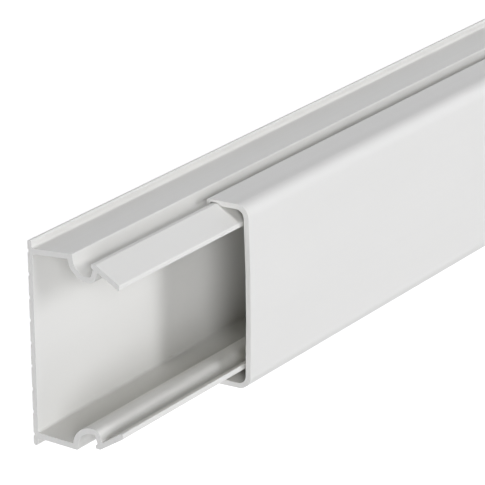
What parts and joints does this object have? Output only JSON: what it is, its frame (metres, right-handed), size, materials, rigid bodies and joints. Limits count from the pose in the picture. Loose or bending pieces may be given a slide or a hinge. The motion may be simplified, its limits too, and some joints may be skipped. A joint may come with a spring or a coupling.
{
  "type": "snap-lid cable trunking",
  "caption": "Straight length of white PVC wall trunking: a tray with outward troughs, snap noses, cable-retaining flaps and a grooved back, closed by a clip-on lid.",
  "frame": {"origin": "middle of the underside of the whole stored part, on the wall face of the base tray and on the section's symmetry plane", "axes": "+X along the length, away from the end that the lid leaves open; +Y across the section; +Z out of the wall, towards the lid"},
  "size_m": [2.0358, 0.0358, 0.0199],
  "materials": {
    "tray_plastic": "satin extruded PVC",
    "lid_plastic": "satin extruded PVC"
  },
  "bodies": {
    "base": {"base_tray": "tray_plastic"},
    "lid": {"snap_lid": "lid_plastic"}
  },
  "joints": [
    {"name": "lid_slide", "type": "slide", "parent": "base", "child": "lid", "axis": [1, 0, 0], "range_m": [-0.0357, 1.9643]}
  ]
}
